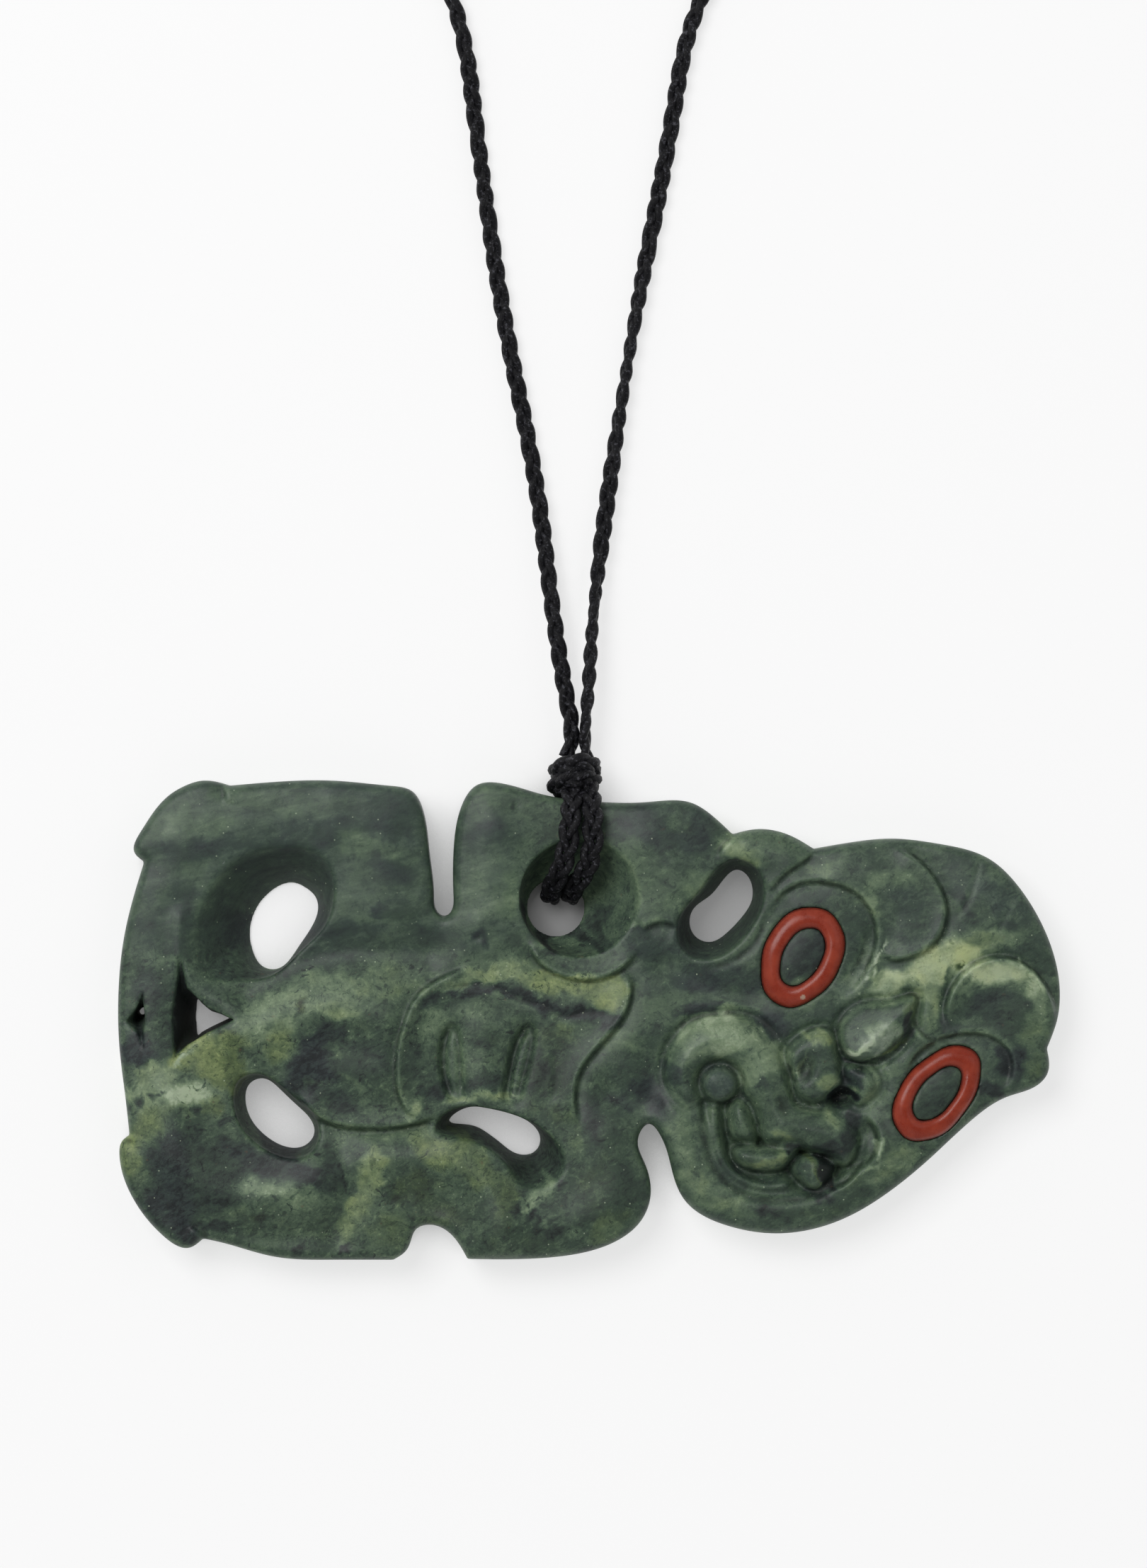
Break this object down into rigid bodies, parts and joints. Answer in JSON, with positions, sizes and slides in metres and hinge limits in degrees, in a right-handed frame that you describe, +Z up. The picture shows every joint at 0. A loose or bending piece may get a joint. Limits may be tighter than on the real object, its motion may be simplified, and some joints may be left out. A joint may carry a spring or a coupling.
{
  "type": "hei tiki pendant",
  "caption": "Flat greenstone hei tiki carving with pierced limbs and inlaid red wax eye rings, hung on a knotted plaited neck cord with a plain barrel clasp.",
  "frame": {"origin": "middle of the carving's outline, on the surface it lies on, under its flat back", "axes": "+X along the figure from its feet to the crown of its head, +Y across it towards the hanging hole and the neck cord, +Z up out of the carved front"},
  "size_m": [0.1101, 0.2963, 0.0093],
  "materials": {
    "nephrite": "satin polished",
    "red_wax": "glossy sealing wax",
    "waxed_cord": "plaited and waxed",
    "clasp_black": "matte"
  },
  "bodies": {
    "root": {"tiki_body": "nephrite", "upper_eye_ring": "red_wax", "lower_eye_ring": "red_wax", "cord_bight": "waxed_cord", "cord_knot": "waxed_cord", "neck_cord_left": "waxed_cord", "neck_cord_right": "waxed_cord", "barrel_clasp": "clasp_black"}
  },
  "joints": []
}
